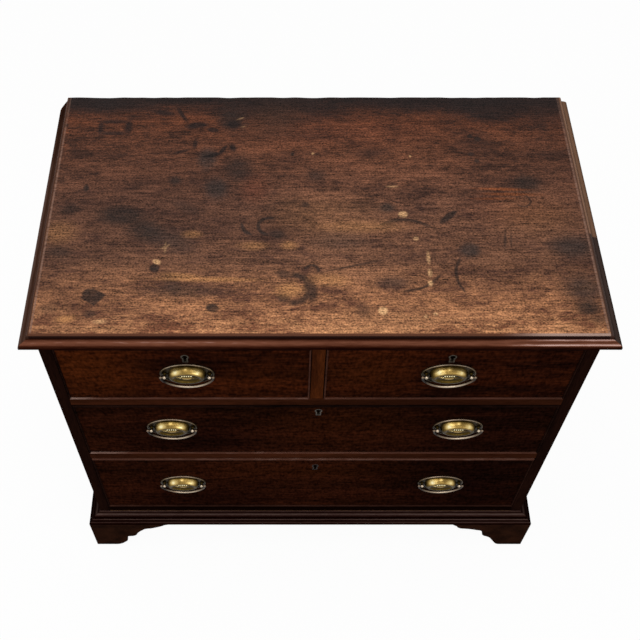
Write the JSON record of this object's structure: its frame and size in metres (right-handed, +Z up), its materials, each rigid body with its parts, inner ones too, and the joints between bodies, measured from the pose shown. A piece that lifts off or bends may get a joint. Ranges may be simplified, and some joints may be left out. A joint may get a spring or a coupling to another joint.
{
  "type": "bachelor's chest",
  "caption": "Mahogany bachelor's chest: moulded top, short drawers over long cock-beaded drawers with locks, oval plate handles with swinging bails, base moulding and shaped bracket feet.",
  "frame": {"origin": "on the floor under the middle of the chest's box", "axes": "+Z up, +X along the width to the right as seen from the front, drawers open along -Y"},
  "size_m": [0.964, 0.5566, 0.84],
  "materials": {
    "mahogany_top": "worn old wax polish, faded and stained",
    "mahogany_case": "dark old polish",
    "mahogany_front": "dark glossy old polish",
    "oak": "bare planed board, aged",
    "pine": "bare sawn board, aged",
    "brass": "aged, rubbed bright on the high places",
    "lock_brass": "dull and dark with age"
  },
  "bodies": {
    "carcase": {"top_board": "mahogany_top", "edge_moulding_front": "mahogany_top", "edge_moulding_left": "mahogany_top", "edge_moulding_right": "mahogany_top", "case_side_left": "mahogany_case", "case_side_right": "mahogany_case", "top_rails": "mahogany_case", "drawer_rails": "mahogany_case", "centre_divider": "mahogany_case", "bottom_board": "mahogany_case", "base_moulding_front": "mahogany_case", "base_moulding_left": "mahogany_case", "base_moulding_right": "mahogany_case", "foot_front_left": "mahogany_case", "foot_front_right": "mahogany_case", "foot_rear_left": "mahogany_case", "foot_rear_right": "mahogany_case", "dust_boards": "pine", "base_rails": "pine", "back_boards": "pine", "glue_blocks": "pine", "drawer_stops": "pine"},
    "upper_left_drawer": {"upper_left_drawer_front": "mahogany_front", "upper_left_cock_beads": "mahogany_front", "upper_left_drawer_sides": "oak", "upper_left_drawer_back": "oak", "upper_left_drawer_bottom": "oak", "upper_left_handle_mounts": "brass", "upper_left_lock": "lock_brass"},
    "upper_left_lock_bolt": {"upper_left_lock_bolt": "lock_brass"},
    "upper_left_bail": {"upper_left_bail": "brass"},
    "upper_right_drawer": {"upper_right_drawer_front": "mahogany_front", "upper_right_cock_beads": "mahogany_front", "upper_right_drawer_sides": "oak", "upper_right_drawer_back": "oak", "upper_right_drawer_bottom": "oak", "upper_right_handle_mounts": "brass", "upper_right_lock": "lock_brass"},
    "upper_right_lock_bolt": {"upper_right_lock_bolt": "lock_brass"},
    "upper_right_bail": {"upper_right_bail": "brass"},
    "middle_drawer": {"middle_drawer_front": "mahogany_front", "middle_cock_beads": "mahogany_front", "middle_drawer_sides": "oak", "middle_drawer_back": "oak", "middle_drawer_bottom": "oak", "middle_handle_mounts": "brass", "middle_lock": "lock_brass"},
    "middle_lock_bolt": {"middle_lock_bolt": "lock_brass"},
    "middle_left_bail": {"middle_left_bail": "brass"},
    "middle_right_bail": {"middle_right_bail": "brass"},
    "lower_drawer": {"lower_drawer_front": "mahogany_front", "lower_cock_beads": "mahogany_front", "lower_drawer_sides": "oak", "lower_drawer_back": "oak", "lower_drawer_bottom": "oak", "lower_handle_mounts": "brass", "lower_lock": "lock_brass"},
    "lower_lock_bolt": {"lower_lock_bolt": "lock_brass"},
    "lower_left_bail": {"lower_left_bail": "brass"},
    "lower_right_bail": {"lower_right_bail": "brass"}
  },
  "joints": [
    {"name": "upper_left_drawer_slide", "type": "slide", "parent": "carcase", "child": "upper_left_drawer", "axis": [0, -1, 0], "range_m": [0, 0.38]},
    {"name": "upper_left_bolt_throw", "type": "slide", "parent": "upper_left_drawer", "child": "upper_left_lock_bolt", "axis": [0, 0, 1], "range_m": [0, 0.007]},
    {"name": "upper_left_bail_swing", "type": "hinge", "parent": "upper_left_drawer", "child": "upper_left_bail", "pos_m": [-0.221, -0.26175, 0.715], "axis": [-1, 0, 0], "range_deg": [0, 170]},
    {"name": "upper_right_drawer_slide", "type": "slide", "parent": "carcase", "child": "upper_right_drawer", "axis": [0, -1, 0], "range_m": [0, 0.38]},
    {"name": "upper_right_bolt_throw", "type": "slide", "parent": "upper_right_drawer", "child": "upper_right_lock_bolt", "axis": [0, 0, 1], "range_m": [0, 0.007]},
    {"name": "upper_right_bail_swing", "type": "hinge", "parent": "upper_right_drawer", "child": "upper_right_bail", "pos_m": [0.221, -0.26175, 0.715], "axis": [-1, 0, 0], "range_deg": [0, 170]},
    {"name": "middle_drawer_slide", "type": "slide", "parent": "carcase", "child": "middle_drawer", "axis": [0, -1, 0], "range_m": [0, 0.38]},
    {"name": "middle_bolt_throw", "type": "slide", "parent": "middle_drawer", "child": "middle_lock_bolt", "axis": [0, 0, 1], "range_m": [0, 0.007]},
    {"name": "middle_left_bail_swing", "type": "hinge", "parent": "middle_drawer", "child": "middle_left_bail", "pos_m": [-0.2645, -0.26175, 0.523], "axis": [-1, 0, 0], "range_deg": [0, 170]},
    {"name": "middle_right_bail_swing", "type": "hinge", "parent": "middle_drawer", "child": "middle_right_bail", "pos_m": [0.2645, -0.26175, 0.523], "axis": [-1, 0, 0], "range_deg": [0, 170]},
    {"name": "lower_drawer_slide", "type": "slide", "parent": "carcase", "child": "lower_drawer", "axis": [0, -1, 0], "range_m": [0, 0.38]},
    {"name": "lower_bolt_throw", "type": "slide", "parent": "lower_drawer", "child": "lower_lock_bolt", "axis": [0, 0, 1], "range_m": [0, 0.007]},
    {"name": "lower_left_bail_swing", "type": "hinge", "parent": "lower_drawer", "child": "lower_left_bail", "pos_m": [-0.2645, -0.26175, 0.28], "axis": [-1, 0, 0], "range_deg": [0, 170]},
    {"name": "lower_right_bail_swing", "type": "hinge", "parent": "lower_drawer", "child": "lower_right_bail", "pos_m": [0.2645, -0.26175, 0.28], "axis": [-1, 0, 0], "range_deg": [0, 170]}
  ]
}
